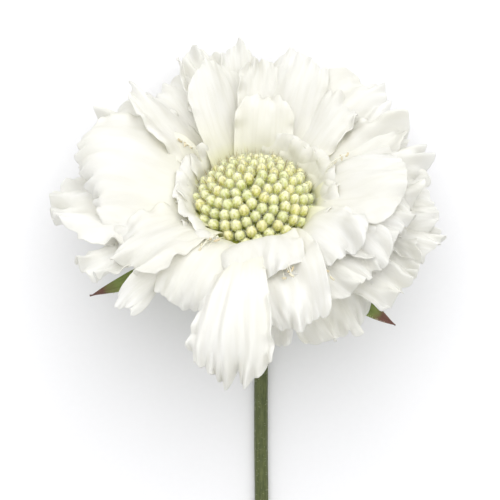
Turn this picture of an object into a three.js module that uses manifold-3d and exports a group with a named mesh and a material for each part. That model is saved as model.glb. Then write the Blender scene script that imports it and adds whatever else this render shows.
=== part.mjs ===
// A cut scabious bloom lying on a flat surface: a short stem, a leafy involucre, a dome of
// closed disc florets, and a ring of white ray florets.
// Millimetres, +Z up. The stem runs towards -Y and the flower's face looks up and towards +Y.
//
// The head is worked out in its own frame: x and y across the face, h out along its axis, and
// the origin at the middle of the dome's base. headFrame then leans it over and lifts it.
import * as THREE from 'three';
import { mergeVertices } from 'three/addons/utils/BufferGeometryUtils.js';
import Module from 'manifold-3d';

const wasm = await Module();
wasm.setup();
const { clamp, degToRad, smoothstep } = THREE.MathUtils;

// Driving dimensions, in millimetres and degrees.

const headPlace = new THREE.Vector3(1.3, 35.35, 21.8); // where the middle of the dome's base lies
const headLean = 40; // how far the flower's axis leans over from straight up

const petalThickness = 0.7; // no thinner, so that the petals stay solid at their real size
const clearance = 0.3; // left between pieces that touch on the real flower

const domeRadius = 10.8; // to the middles of the outermost buds
const domeHeight = 5.2;
const domePower = 2.2; // how flat the top of the dome is
const domeFoot = -2.4; // underside of the receptacle
const goldenAngle = Math.PI * (3 - Math.sqrt(5));
const budCount = 108;
const budCrowding = 0.455; // less than 0.5 sets the buds closer towards the rim
const budLean = 0.5; // how far the outermost buds lean outwards, as a slope
const budRadius = 1.05;
const budLength = 3.2;
const budSides = 5;
// A bud's outline from foot to tip, in shares of its radius and its length.
const budProfile = [[0, -0.5], [1, 0.05], [0.72, 0.42], [0, 0.58]];

const cupDepth = 7.4; // from the dome's base down to the top of the stem
const cupRadius = 10.2;
const cupTop = -2.8;
const bractAzimuths = [-41, 3, 43, 83, 123, 163, 208, 245, 281]; // directions round the head
const bractLengths = [28.5, 23, 25, 23, 24, 24, 29, 18, 17];
const bractWidth = 5;
const bractThickness = 0.8;
const bractRoot = { radius: 6.2, height: -4.1 };
const bractDip = -34; // slope at the root
const bractRise = 8; // slope at the tip
const bractLift = { root: 28, tip: 18 }; // how much less the bracts dip at the back
const bractRows = 6;

const stemRadius = 1.35;
const stemReach = 104; // from the head to where the stem is cut off
const stemSide = 1.3; // how far the lying stretch is to the side
const stemHeight = 1.1; // of its middle line, a little low, so that it rests on a flat strip

const tubeFoot = { radius: 11.4, height: -2.6 }; // a ray floret's tube leaves the receptacle
const throatRadius = 12.6; // and opens in its throat, this far from the head's axis
const throatHeight = 0.2;
const throatMargin = 1.2; // how far the throat reaches past its outermost lobes' roots
const tubeRadii = { foot: 0.7, middle: 0.75, throat: 0.9, mouth: 0.8 };
const mouthHeight = 1; // of the mouth above the throat
const throatSlope = 75; // of every lobe where it leaves the throat
const throatReach = 2.5; // and how far along the lobe it is left

const facetWidth = 3.8; // aimed at in the facets of a lobe
const facetLength = 7.5;
const midlineSteps = 50;
const midlineReach = 1.25; // a midline is known a little past the tip
const smallestDetail = 0.08; // finer slivers left by the cuts are smoothed away

// The ray florets, named in order round the head. Each lobe of a floret is a fan: az is its
// direction round the head and from that of its root; root is its root's distance from the
// axis and h the height there; length runs along the midline, whose slope goes from rise to
// fall; width is the half width, claw the share of it at the root, peak where it is all open;
// cup rolls the sides up, or down where it is negative, and fold bends what lies past foldAt;
// wave is the height of the waves across it and waves their count; flute and lip swing the
// slope of the outer blade and of its margin up and down across it; edge rounds its corners.
const lobeDefaults = {
  root: 12.2, h: -0.6, length: 20.5, rise: 22, fall: 10, width: 8, claw: 0.55, peak: 0.65,
  cup: 0.2, roll: 14, twist: 0, bow: 0, curl: 0, fold: 0, foldAt: 0, wave: 1.2, waves: 3,
  flute: 13, edge: 0.45, lip: 14,
};
const shortLobe = {
  root: 11.8, h: -0.3, length: 7.5, rise: 66, fall: 38, width: 5.2, claw: 0.8, cup: 0.1,
  curl: -38, roll: 5, wave: 0.5, waves: 4, flute: 24, short: true,
};

const rayFlorets = {
  a: [
    { az: 110, from: 108, h: 0, length: 20, rise: 44, fall: 24, width: 7, claw: 0.8, cup: 0.25,
      wave: 0.5, edge: 0.85, flute: 8 },
    { az: 112, from: 111, length: 24.5, rise: 32, fall: 20, width: 5.4, waves: 4, flute: 18 },
    { az: 96, from: 99, length: 23.5, rise: 35, fall: 24, width: 3.3, wave: 0.4, waves: 2,
      flute: 8, edge: 0.6, lip: 10 },
  ],
  b: [
    { az: 71, from: 71, h: -0.2, length: 22, rise: 42, fall: 26, width: 7, claw: 0.75, cup: -0.9,
      wave: 0.5, edge: 0.3, roll: 4, flute: 7 },
    { az: 87, from: 85, h: 0.2, length: 19.5, rise: 40, fall: 26, width: 5.2, claw: 0.5,
      cup: 0.4, wave: 0.6, edge: 0.3, flute: 9 },
    { az: 62, from: 70, root: 12, h: -1.1, length: 23, rise: 2, fall: -16, width: 9 },
    { ...shortLobe, az: 83, h: 0, length: 13.5, rise: 64, fall: 38, width: 5.8, claw: 0.9,
      curl: -60, cup: 0.3, edge: 0.7, waves: 3, flute: 10 },
    { ...shortLobe, az: 60, length: 6.5, fall: 52, curl: -20 },
  ],
  c: [
    { az: 36, from: 44, length: 25, rise: 28, fall: 4, width: 11.5, curl: -45, roll: 9,
      wave: 1.4, waves: 4, flute: 19, edge: 0.7 },
    { az: 56, from: 54, length: 18, rise: 38, fall: 16, width: 7.6, cup: 0.2, roll: -8,
      curl: -30 },
    { az: 32, from: 38, root: 12, h: -1, length: 23, rise: 2, fall: -8, width: 8 },
    { ...shortLobe, az: 43, length: 6.5, fall: 52, curl: -20 },
  ],
  d: [
    { az: 12, from: 17, length: 23, rise: 22, fall: -4, width: 10.5, curl: -30, cup: 0.1,
      waves: 5, flute: 20 },
    { az: 1, from: 5, h: 0.6, length: 18.5, rise: 46, fall: -10, width: 12.5, claw: 0.5,
      peak: 0.6, cup: -0.15, wave: 0.7, edge: 0.3, roll: -4, flute: 8, fold: -34, foldAt: 0.35 },
    { az: -5, from: 2, root: 12, h: -1, length: 23.5, rise: 4, fall: -6, width: 8, waves: 4 },
    { ...shortLobe, az: 24 },
    { ...shortLobe, az: 8 },
  ],
  e: [
    { az: -22, from: -18, h: 0.4, length: 19.5, rise: 34, fall: -18, width: 9.5, cup: 0,
      flute: 15 },
    { az: -13, from: -16, root: 12, h: -1, length: 25, rise: 6, fall: -16, width: 5 },
    { az: -29, from: -24, root: 12, h: -1.5, length: 22.5, rise: -2, fall: -12, width: 6.5,
      waves: 4 },
    { ...shortLobe, az: -14 },
  ],
  f: [
    { az: -54, from: -50, h: 0.5, length: 15, rise: 58, fall: -40, width: 9.5, claw: 0.5,
      cup: -0.2, waves: 5, flute: 20 },
    { az: -43, from: -46, h: 0.6, length: 18.5, rise: 20, fall: -28, width: 8.5 },
    { az: -33, from: -42, root: 12, h: -1.6, length: 23, rise: 0, fall: -14, width: 4.8,
      waves: 4 },
    { az: -57, from: -52, root: 12, h: -1.8, length: 21, rise: -28, fall: -38, width: 7.5,
      waves: 5, flute: 18 },
    { ...shortLobe, az: -34, fall: 5 },
    { ...shortLobe, az: -52, length: 7, fall: 0 },
  ],
  g: [
    { az: -77, from: -73, h: 0.5, length: 22, rise: 36, fall: -58, width: 7.6, claw: 0.5,
      cup: 0.95, wave: 0.7, flute: 7 },
    { az: -86, from: -80, root: 12, h: -0.6, length: 20.5, rise: -6, fall: -50, width: 3.8,
      wave: 0.6 },
    { ...shortLobe, az: -70, length: 7, fall: 0 },
  ],
  h: [
    { az: -98, from: -96, h: 0.2, length: 35, rise: 42, fall: -78, width: 9.4, peak: 1.35,
      cup: -0.3, wave: 2.3, waves: 7, flute: 0, lip: 10, edge: 0.45, claw: 0.12 },
    { az: -92, root: 12.1, h: 0.8, length: 15, rise: 76, fall: -56, width: 9.4, claw: 0.62,
      cup: -0.45, wave: 0.8, flute: 15, waves: 4 },
  ],
  i: [
    { az: -124, from: -121, h: 0.5, length: 21.5, rise: 48, fall: -76, width: 8.8, claw: 0.5,
      cup: -0.4, wave: 0.8, roll: 6, flute: 15 },
    { az: -137, from: -126, h: 0.8, length: 24, rise: 4, fall: -16, width: 3.2, claw: 0.5,
      cup: 0.6, wave: 0.4, waves: 2, twist: 170, flute: 7 },
    { ...shortLobe, az: -114, length: 7, fall: -10 },
    { ...shortLobe, az: -134, length: 7, fall: 0 },
  ],
  j: [
    { az: -141, from: -148, h: 0.4, length: 19.5, rise: 32, fall: -40, width: 7.8, cup: 0.3,
      roll: 8, waves: 4, flute: 19 },
    { az: -152, from: -152, root: 12, h: -1.2, length: 24.5, rise: 2, fall: -10, width: 5,
      cup: 0.8, wave: 1, bow: 6 },
    { ...shortLobe, az: -152, length: 6.5 },
  ],
  k: [
    { az: 179, from: 175, h: 0.4, length: 25, rise: 38, fall: -14, width: 14, claw: 0.5,
      peak: 0.6, cup: -0.15, wave: 0.9, edge: 0.35, roll: -8, flute: 9, curl: -45, fold: -14,
      foldAt: -0.3 },
    { az: 182, from: 180, root: 12, h: -1.1, length: 27.5, rise: 4, fall: -8, width: 12.4,
      cup: 0.1, waves: 5, flute: 17, edge: 0.8 },
    { ...shortLobe, az: -172, length: 6.5 },
    { ...shortLobe, az: 168, length: 6.5 },
  ],
  l: [
    { az: 153, from: 152, length: 26, rise: 20, fall: 2, width: 9.6, cup: 0.1, curl: -40,
      roll: -8, flute: 15, waves: 4, edge: 0.8 },
    { az: 132, from: 131, length: 22.5, rise: 34, fall: 4, width: 9.2, claw: 0.4, cup: 0.1,
      roll: 2, fold: 16, foldAt: -0.1, flute: 9, edge: 0.7, curl: -30 },
    { az: 122, from: 128, root: 12, h: -1.4, length: 23, rise: -1, fall: -23, width: 8.5 },
    { ...shortLobe, az: 150, length: 6.5 },
    { ...shortLobe, az: 138, length: 6.5, width: 4.4, fall: 48 },
  ],
};

// Small tools: seeded draws, and the way from geometry to solid and back.

function draws(seed, count) {
  const values = [];
  let state = seed * 7919;
  for (let i = 0; i < count; i += 1) {
    state = (state * 1664525 + 1013904223) % 4294967296;
    values.push(state / 4294967296);
  }
  return values;
}

function solidOf(geometry) {
  const bare = new THREE.BufferGeometry();
  bare.setAttribute('position', geometry.getAttribute('position'));
  bare.setIndex(geometry.index);
  const merged = mergeVertices(bare, 1e-4);
  return new wasm.Manifold(new wasm.Mesh({
    numProp: 3,
    vertProperties: merged.attributes.position.array,
    triVerts: new Uint32Array(merged.index.array),
  }));
}

function geometryOf(solid) {
  const mesh = solid.getMesh();
  const geometry = new THREE.BufferGeometry();
  geometry.setAttribute('position', new THREE.BufferAttribute(mesh.vertProperties, 3));
  geometry.setIndex(new THREE.BufferAttribute(mesh.triVerts, 1));
  return geometry;
}

// The largest body of a solid: a cut can leave loose scraps beside it.
function largestBody(solid) {
  return solid.decompose().reduce((a, b) => (a.volume() > b.volume() ? a : b));
}

const headFrame = new THREE.Matrix4()
  .makeRotationX(-degToRad(headLean))
  .setPosition(headPlace);

const outline = (pairs) => pairs.map(([radius, along]) => new THREE.Vector2(radius, along));

// A solid turned about the head's axis, from pairs of radius and height.
function turned(pairs, sides) {
  const lathe = new THREE.LatheGeometry(outline(pairs), sides);
  return solidOf(lathe.rotateX(Math.PI / 2).applyMatrix4(headFrame));
}

// A sheet of even thickness over a grid of rows and columns, both faces split alike. With
// extra it is thicker on both sides and its outer edge reaches as far past the grid.
function sheetSolid(pointAt, rows, columns, thickness, extra = 0) {
  const sheet = new THREE.PlaneGeometry(1, 1, columns, rows);
  const middle = sheet.getAttribute('position');
  const at = (row, column) => row * (columns + 1) + column;
  const grid = [];
  for (let row = 0; row <= rows; row += 1) {
    for (let column = 0; column <= columns; column += 1) {
      grid.push(pointAt(row / rows, 2 * column / columns - 1));
    }
  }
  for (let row = 0; row <= rows; row += 1) {
    for (let column = 0; column <= columns; column += 1) {
      const here = grid[at(row, column)];
      const inner = [
        at(clamp(row, 1, rows - 1), column),
        at(row, clamp(column, 1, columns - 1)),
      ];
      const point = here.clone();
      for (const beside of inner) {
        point.add(here.clone().sub(grid[beside]).setLength(extra));
      }
      middle.setXYZ(at(row, column), point.x, point.y, point.z);
    }
  }
  sheet.computeVertexNormals();
  const normal = sheet.getAttribute('normal');
  const positions = [];
  for (const side of [0.5, -0.5]) {
    for (let k = 0; k < middle.count; k += 1) {
      const offset = side * (thickness + 2 * extra);
      positions.push(middle.getX(k) + offset * normal.getX(k));
      positions.push(middle.getY(k) + offset * normal.getY(k));
      positions.push(middle.getZ(k) + offset * normal.getZ(k));
    }
  }
  const upper = Array.from(sheet.index.array);
  const indices = [...upper];
  for (let k = 0; k < upper.length; k += 3) {
    indices.push(upper[k] + middle.count, upper[k + 2] + middle.count, upper[k + 1] + middle.count);
  }
  const rim = [];
  for (let row = 0; row < rows; row += 1) rim.push(at(row, 0));
  for (let column = 0; column < columns; column += 1) rim.push(at(rows, column));
  for (let row = rows; row > 0; row -= 1) rim.push(at(row, columns));
  for (let column = columns; column > 0; column -= 1) rim.push(at(0, column));
  rim.forEach((here, k) => {
    const next = rim[(k + 1) % rim.length];
    indices.push(here + middle.count, next + middle.count, next);
    indices.push(here + middle.count, next, here);
  });
  const geometry = new THREE.BufferGeometry();
  geometry.setAttribute('position', new THREE.Float32BufferAttribute(positions, 3));
  geometry.setIndex(indices);
  return solidOf(geometry.applyMatrix4(headFrame));
}

// One petal lobe. Each strip of it, at a place s across, has a line of its own, added up from
// the midline's slope, steep in the throat, and the strip's own swing. Across the lobe the
// section is an arc with one fold, on which waves ride that grow towards the margin. Its root
// bends round the dome.
function lobeSurface(given) {
  const lobe = { ...lobeDefaults, ...given };
  lobe.from ??= lobe.az;
  const phase = draws(lobe.seed, 18).map((value) => value * 2 * Math.PI);
  const rootAngle = degToRad(lobe.from);
  const root = new THREE.Vector3(
    lobe.root * Math.cos(rootAngle), lobe.root * Math.sin(rootAngle), lobe.h);
  const wavesAt = (s) => Math.sin(Math.PI * lobe.waves * s / 2 + phase[2]);
  const slopeAt = (q) => lobe.rise + (lobe.fall - lobe.rise) * clamp(q, 0, 1.1) ** 1.4
    + (throatSlope - lobe.rise) * (1 - smoothstep(q * lobe.length, 0, throatReach))
    + lobe.curl * smoothstep(q, 0.7, 1);
  const swingAt = (q, s) => lobe.flute * wavesAt(s) * (0.5 + 0.9 * s * s - 0.8 * s ** 4)
    * smoothstep(q, 0.4, 1)
    + lobe.lip * Math.sin(3.7 * s + phase[17]) * (1 - s ** 4) * smoothstep(q, 0.88, 1);
  const headingAt = (q) => degToRad(lobe.az + lobe.bow * clamp(q, 0, 1.1) ** 2);
  const direction = (slope, heading) => new THREE.Vector3(
    Math.cos(slope) * Math.cos(heading), Math.cos(slope) * Math.sin(heading), Math.sin(slope));

  const stride = midlineReach / midlineSteps;
  const strips = new Map();
  const stripAt = (s) => {
    if (!strips.has(s)) {
      const line = [root];
      for (let k = 0; k < midlineSteps; k += 1) {
        const q = (k + 0.5) * stride;
        const step = direction(degToRad(slopeAt(q) + swingAt(q, s)), headingAt(q));
        line.push(step.multiplyScalar(stride * lobe.length).add(line[k]));
      }
      strips.set(s, line);
    }
    return strips.get(s);
  };

  const rounding = lobe.edge * lobe.width / lobe.length;
  return (t, s) => {
    const margin = 1 - rounding * Math.abs(s) ** 3 + 0.03 * Math.sin(4.2 * s + phase[0]);
    const q = t * margin;
    const whole = clamp(Math.floor(q / stride), 0, midlineSteps - 1);
    const line = stripAt(s);
    const centre = line[whole].clone().lerp(line[whole + 1], q / stride - whole);
    const heading = headingAt(q);
    const level = new THREE.Vector3(-Math.sin(heading), Math.cos(heading), 0);
    const up = new THREE.Vector3().crossVectors(
      direction(degToRad(slopeAt(q)), heading), level);
    const turn = degToRad(lobe.roll + lobe.twist * Math.max(q, 0) ** 1.5);
    const side = level.clone().multiplyScalar(Math.cos(turn)).addScaledVector(up, Math.sin(turn));
    up.multiplyScalar(Math.cos(turn)).addScaledVector(level, -Math.sin(turn));

    const opened = Math.sin(Math.min(1, q / lobe.peak) * Math.PI / 2);
    const width = lobe.width * (lobe.claw + (1 - lobe.claw) * opened)
      * (1 - 0.12 * smoothstep(q, 0.8, 1));
    const arc = lobe.cup * (0.4 + 0.6 * smoothstep(q, 0, 1)) + 1e-6;
    const slow = 0.5 * Math.sin(2.1 * s + 3 * q + phase[3]) * smoothstep(q, 0.1, 0.8);
    const waved = wavesAt(s) * (0.45 + 0.55 * s * s) * smoothstep(q, 0.3, 1.05);
    const lift = lobe.wave * (waved + slow);

    const outAt = (place) => width * Math.sin(arc * place) / arc;
    const riseAt = (place) => width * (1 - Math.cos(arc * place)) / arc;
    const fold = degToRad(lobe.fold) * smoothstep(q, 0.05, 0.45)
      * smoothstep(s, lobe.foldAt - 0.14, lobe.foldAt + 0.14);
    const past = outAt(s) - outAt(lobe.foldAt);
    const above = riseAt(s) - riseAt(lobe.foldAt);
    const out = outAt(lobe.foldAt) + past * Math.cos(fold) - above * Math.sin(fold);
    const rise = riseAt(lobe.foldAt) + past * Math.sin(fold) + above * Math.cos(fold);
    const hug = out * out / (2 * lobe.root) * (1 - smoothstep(q, 0, 0.45));
    return centre.addScaledVector(side, out).addScaledVector(up, rise + lift)
      .add(new THREE.Vector3(-hug * Math.cos(rootAngle), -hug * Math.sin(rootAngle), 0));
  };
}

function lobeSolid(lobe, extra = 0) {
  const size = { ...lobeDefaults, ...lobe };
  const byWidth = Math.round(2 * size.width / facetWidth);
  const columns = size.short ? 3 : clamp(Math.max(byWidth, size.waves), 3, 7);
  const rows = size.twist > 0 ? 8 : clamp(Math.round(size.length / facetLength), 2, 5);
  return sheetSolid(lobeSurface(lobe), rows, columns, petalThickness, extra);
}

// A ray floret's tube, slim at the receptacle and open like a funnel at the throat, where it
// is as wide as its lobes' roots need.
function tubeSolid(lobes, extra = 0) {
  const roots = lobes.filter((lobe) => !lobe.short).map((lobe) => lobe.from ?? lobe.az);
  const middle = (Math.max(...roots) + Math.min(...roots)) / 2;
  const spread = degToRad(Math.max(...roots) - middle) * throatRadius + throatMargin;
  const azimuth = degToRad(middle);
  const outward = new THREE.Vector3(Math.cos(azimuth), Math.sin(azimuth), 0);
  const foot = outward.clone().multiplyScalar(tubeFoot.radius).setZ(tubeFoot.height);
  const throat = outward.clone().multiplyScalar(throatRadius).setZ(throatHeight);
  const length = foot.distanceTo(throat);
  const profile = [
    [0, -extra],
    [tubeRadii.foot + extra, -extra],
    [tubeRadii.middle + extra, length / 2],
    [tubeRadii.throat + extra, length],
    [tubeRadii.mouth + extra, length + mouthHeight + extra],
    [0, length + mouthHeight + extra],
  ];
  const tube = new THREE.LatheGeometry(outline(profile), 8);
  const position = tube.getAttribute('position');
  for (let k = 0; k < position.count; k += 1) {
    const opened = clamp(position.getY(k) / length, 0, 1);
    position.setX(k, position.getX(k) * (1 + (spread / tubeRadii.throat - 1) * opened));
  }
  const axis = throat.clone().sub(foot).normalize();
  const sideways = new THREE.Vector3(-Math.sin(azimuth), Math.cos(azimuth), 0);
  const lean = new THREE.Matrix4().makeBasis(sideways, axis, sideways.clone().cross(axis));
  tube.applyMatrix4(lean).translate(foot.x, foot.y, foot.z);
  return solidOf(tube.applyMatrix4(headFrame));
}

// The space that the dome and its buds take, with the clearance round it.
function domeRoom() {
  const outer = domeRadius + budRadius + clearance;
  const profile = [[0, -3], [tubeFoot.radius - 1.2, -3], [outer, -1], [outer, 1]];
  for (const share of [0.85, 0.6, 0.3]) {
    profile.push([outer * share, domeHeight * (1 - share ** domePower) + 2]);
  }
  profile.push([0, domeHeight + 2]);
  return turned(profile, 24);
}

// The receptacle and the closed disc florets on it, set out by the golden angle.
function domeSolid() {
  const core = [[0, domeFoot], [tubeFoot.radius - 1.8, domeFoot], [domeRadius, -0.9]];
  for (const share of [0.85, 0.5]) {
    core.push([domeRadius * share, domeHeight * (1 - share ** domePower) - 0.8]);
  }
  core.push([0, domeHeight - 0.8]);
  const pieces = [turned(core, 12)];
  for (let k = 0; k < budCount; k += 1) {
    const share = ((k + 0.5) / budCount) ** budCrowding;
    const angle = k * goldenAngle;
    const place = new THREE.Vector3(
      domeRadius * share * Math.cos(angle), domeRadius * share * Math.sin(angle),
      domeHeight * (1 - share ** domePower));
    const size = 0.9 + 0.1 * share;
    const outward = new THREE.Vector3(
      budLean * share * Math.cos(angle), budLean * share * Math.sin(angle), 1).normalize();
    const bud = new THREE.LatheGeometry(outline(budProfile.map(
      ([radius, along]) => [radius * budRadius * size, along * budLength])), budSides);
    bud.applyQuaternion(new THREE.Quaternion().setFromUnitVectors(
      new THREE.Vector3(0, 1, 0), outward));
    bud.translate(place.x, place.y, place.z);
    pieces.push(solidOf(bud.applyMatrix4(headFrame)));
  }
  return wasm.Manifold.union(pieces);
}

// A bract of the involucre: a narrow pointed leaf with a keel. It dips away from the cup and
// turns up again towards its tip, less so at the back, where the surface is close.
function bractSolid(azimuth, length) {
  const heading = degToRad(azimuth);
  const back = 0.5 + 0.5 * Math.sin(heading);
  const start = degToRad(bractDip + bractLift.root * back);
  const end = degToRad(bractRise + bractLift.tip * back);
  const out = new THREE.Vector3(Math.cos(heading), Math.sin(heading), 0);
  const across = new THREE.Vector3(-out.y, out.x, 0);
  return sheetSolid((t, s) => {
    const bend = (end - start) * t / 2;
    const run = length * t * Math.cos(start + bend);
    const fall = length * t * Math.sin(start + bend);
    const half = bractWidth / 2 * (0.5 + 0.5 * smoothstep(t, 0, 0.4)) * (1 - t ** 4) + 0.35;
    return out.clone().multiplyScalar(bractRoot.radius + run).addScaledVector(across, half * s)
      .setZ(bractRoot.height + fall + 0.25 * half * s * s);
  }, bractRows, 2, bractThickness);
}

function involucreSolid() {
  const cup = [
    [0, -cupDepth], [stemRadius, -cupDepth], [2.6, 0.9 - cupDepth], [5.6, 2.2 - cupDepth],
    [8.6, 3.5 - cupDepth], [cupRadius, cupTop - 0.5], [cupRadius - 0.4, cupTop], [0, cupTop],
  ];
  const pieces = [turned(cup, 16)];
  bractLengths.forEach((length, k) => {
    pieces.push(bractSolid(bractAzimuths[k], length));
  });
  return wasm.Manifold.union(pieces);
}

function stemSolid() {
  const top = new THREE.Vector3(0, 0, -cupDepth - clearance).applyMatrix4(headFrame);
  const axis = new THREE.Vector3(0, 0, -1).transformDirection(headFrame);
  const lying = (side, reach, height) => new THREE.Vector3(
    headPlace.x + side, headPlace.y - reach, height);
  const path = new THREE.CatmullRomCurve3([
    top,
    top.clone().addScaledVector(axis, 5),
    lying(0.7, 13.6, 6.7),
    lying(1.1, 20.8, 3.0),
    lying(stemSide, 31, stemHeight + 0.3),
    lying(stemSide, 47, stemHeight),
    lying(stemSide + 0.2, 76, stemHeight),
    lying(stemSide - 0.1, stemReach, stemHeight),
  ]);
  const section = new THREE.Shape(Array.from({ length: 8 }, (_, k) => new THREE.Vector2(
    stemRadius * Math.cos(k * Math.PI / 4), stemRadius * Math.sin(k * Math.PI / 4))));
  return solidOf(new THREE.ExtrudeGeometry(section, {
    extrudePath: path, steps: 20, bevelEnabled: false,
  }));
}

// Putting the flower together. The surface it lies on trims what would dip into it to small
// flat spots, and of two florets that would cross, the later one here is trimmed.
const floor = solidOf(new THREE.BoxGeometry(400, 400, 40).translate(0, 0, -20));
const cutOrder = ['a', 'c', 'e', 'h', 'j', 'k', 'g', 'b', 'd', 'f', 'i', 'l'];

Object.values(rayFlorets).forEach((lobes, number) => {
  lobes.forEach((lobe, k) => {
    lobe.seed ??= 10 * number + k + 1;
  });
});

function floretSolid(lobes, extra = 0) {
  return wasm.Manifold.union(
    [tubeSolid(lobes, extra), ...lobes.map((lobe) => lobeSolid(lobe, extra))]);
}

const looks = {
  petal: { color: 0xf6f6ee, roughness: 0.6 },
  bud: { color: 0xb4bf58, roughness: 0.7 },
  leaf: { color: 0x5d6b35, roughness: 0.65 },
  stem: { color: 0x59633a, roughness: 0.6 },
};

const flower = new THREE.Group();

function addMesh(name, solid, look) {
  const mesh = new THREE.Mesh(
    geometryOf(largestBody(solid.subtract(floor).simplify(smallestDetail))),
    new THREE.MeshStandardMaterial({ ...looks[look], metalness: 0 }));
  mesh.name = name;
  flower.add(mesh);
}

const florets = {};
const room = {};
for (const name of cutOrder) {
  let solid = floretSolid(rayFlorets[name]).subtract(domeRoom());
  for (const taken of Object.values(room)) {
    solid = solid.subtract(taken);
  }
  florets[name] = solid;
  room[name] = floretSolid(rayFlorets[name], clearance);
}

addMesh('stem', stemSolid(), 'stem');
let involucre = involucreSolid();
for (const taken of Object.values(room)) {
  involucre = involucre.subtract(taken);
}
addMesh('involucre', involucre, 'leaf');
addMesh('bud_dome', domeSolid(), 'bud');
for (const name of Object.keys(rayFlorets)) {
  addMesh(`ray_floret_${name}`, florets[name], 'petal');
}

export default flower;
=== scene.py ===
import bmesh
import bpy
import numpy as np
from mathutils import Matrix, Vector


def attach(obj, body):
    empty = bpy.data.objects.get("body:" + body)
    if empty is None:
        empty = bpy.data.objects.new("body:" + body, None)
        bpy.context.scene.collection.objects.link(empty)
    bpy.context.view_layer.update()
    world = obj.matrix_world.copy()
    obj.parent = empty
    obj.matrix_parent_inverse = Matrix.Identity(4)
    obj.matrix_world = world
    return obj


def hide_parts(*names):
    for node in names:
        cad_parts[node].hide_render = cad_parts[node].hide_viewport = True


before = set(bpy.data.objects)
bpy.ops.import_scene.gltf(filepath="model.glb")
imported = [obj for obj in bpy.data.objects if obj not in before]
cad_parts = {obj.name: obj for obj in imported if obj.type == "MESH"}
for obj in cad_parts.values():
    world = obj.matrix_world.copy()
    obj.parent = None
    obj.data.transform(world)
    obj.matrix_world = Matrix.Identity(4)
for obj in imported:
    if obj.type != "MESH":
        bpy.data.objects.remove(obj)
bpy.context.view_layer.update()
print("frame loaded with", len(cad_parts), "nodes")

mm = 0.001
weld = 0.0005  # points closer together than this become one
headPlace = np.array([1.3, 35.35, 21.8])  # middle of the dome's base
headLean = np.radians(40)  # of the flower's axis from straight up


def smooth(x, low, high):
    # 3u^2 - 2u^3, where u goes from 0 at low to 1 at high
    u = np.clip((x - low) / (high - low), 0, 1)
    return u * u * (3 - 2 * u)


def draws(seed, *shape):
    # the same run of numbers from 0 to 1 for the same seed: each state is the last one times a
    # factor, plus a step, and starts again from 0 at 2 to the power 32
    values = []
    state = seed * 7919
    for _ in range(np.prod(shape)):
        state = (state * 1664525 + 1013904223) % 2 ** 32
        values.append(state / 2 ** 32)
    return np.array(values).reshape(shape)


def unit(vectors):
    return vectors / np.linalg.norm(vectors, axis=-1, keepdims=True)


def circle(count):
    # even angles round a circle
    return np.linspace(0, 2 * np.pi, count, endpoint=False)


def polar(reach, angle, height):
    # points by their reach from the axis, their angle round it and their height
    x, y = reach * np.cos(angle), reach * np.sin(angle)
    return np.stack([x, y, height + 0 * x], -1)


def compass(angle):
    # the directions outwards and sideways across the face
    return polar(1, angle, 0), np.array([-np.sin(angle), np.cos(angle), 0])


def turned(aside, above, angle):
    # the direction turned by an angle from aside towards above
    return np.cos(angle)[..., None] * aside + np.sin(angle)[..., None] * above


def headToWorld(points):
    # across the face x and y, out along the axis h: leaned over, then moved to the head's place
    x, y, h = np.moveaxis(np.asarray(points, float), -1, 0)
    back = y * np.cos(headLean) + h * np.sin(headLean)
    up = h * np.cos(headLean) - y * np.sin(headLean)
    return np.stack([x, back, up], -1) + headPlace


def gridFaces(rows, columns, around=False):
    # quads between neighbouring points of a grid; around joins the last column to the first
    index = np.arange(rows * columns).reshape(rows, columns)
    if around:
        index = np.concatenate([index, index[:, :1]], 1)
    quads = np.stack([index[:-1, :-1], index[:-1, 1:], index[1:, 1:], index[1:, :-1]], -1)
    return quads.reshape(-1, 4)


def patchOf(points, faces, values):
    # points in a grid, the faces between them and the values that each point carries
    shape = points.shape[:-1]
    values = {key: np.broadcast_to(value, shape).ravel() for key, value in values.items()}
    return {"points": points.reshape(-1, 3), "faces": faces, "values": values}


def rings(points, values, flip=False):
    # a patch of closed rings, each joined to the next; flip turns its faces over
    faces = gridFaces(*points.shape[:2], True)
    return patchOf(points, faces[:, ::-1] if flip else faces, values)


def joined(patches):
    # several patches of points, faces and values put one after another
    points, faces, values, start = [], [], {}, 0
    for patch in patches:
        points.append(patch["points"])
        faces += (patch["faces"] + start).tolist()
        for key, value in patch["values"].items():
            values.setdefault(key, []).append(value)
        start += len(patch["points"])
    values = {key: np.concatenate(value) for key, value in values.items()}
    return {"points": np.concatenate(points), "faces": faces, "values": values}


def addPiece(name, patches, material, node, wall=0, merge=0):
    # one object from its patches, at the origin, with each value as a point attribute
    whole = joined(patches)
    mesh = bpy.data.meshes.new(name)
    mesh.from_pydata((whole["points"] * mm).tolist(), [], whole["faces"])
    for key, value in whole["values"].items():
        layer = mesh.attributes.new(key, "FLOAT", "POINT")
        layer.data.foreach_set("value", value.astype(np.float32))
    if merge:
        shell = bmesh.new()
        shell.from_mesh(mesh)
        bmesh.ops.remove_doubles(shell, verts=shell.verts, dist=merge * mm)
        shell.to_mesh(mesh)
        shell.free()
    mesh.shade_smooth()
    mesh.materials.append(material)
    piece = bpy.data.objects.new(name, mesh)
    bpy.context.scene.collection.objects.link(piece)
    if wall:
        solid = piece.modifiers.new("wall", "SOLIDIFY")
        solid.thickness = wall * mm
        solid.offset = 0
    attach(piece, "root")
    if node:
        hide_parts(node)


def tube(path, radii, sides, values):
    # a round profile carried along a path, with a radius for each of its places
    ahead = unit(np.gradient(path, axis=0))
    aside = unit(np.cross(ahead, [0.31, 0.17, 0.94]))
    above = np.cross(aside, ahead)
    ring = turned(aside[:, None], above[:, None], circle(sides))
    return rings(path[:, None] + radii[:, None, None] * ring, values)


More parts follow.
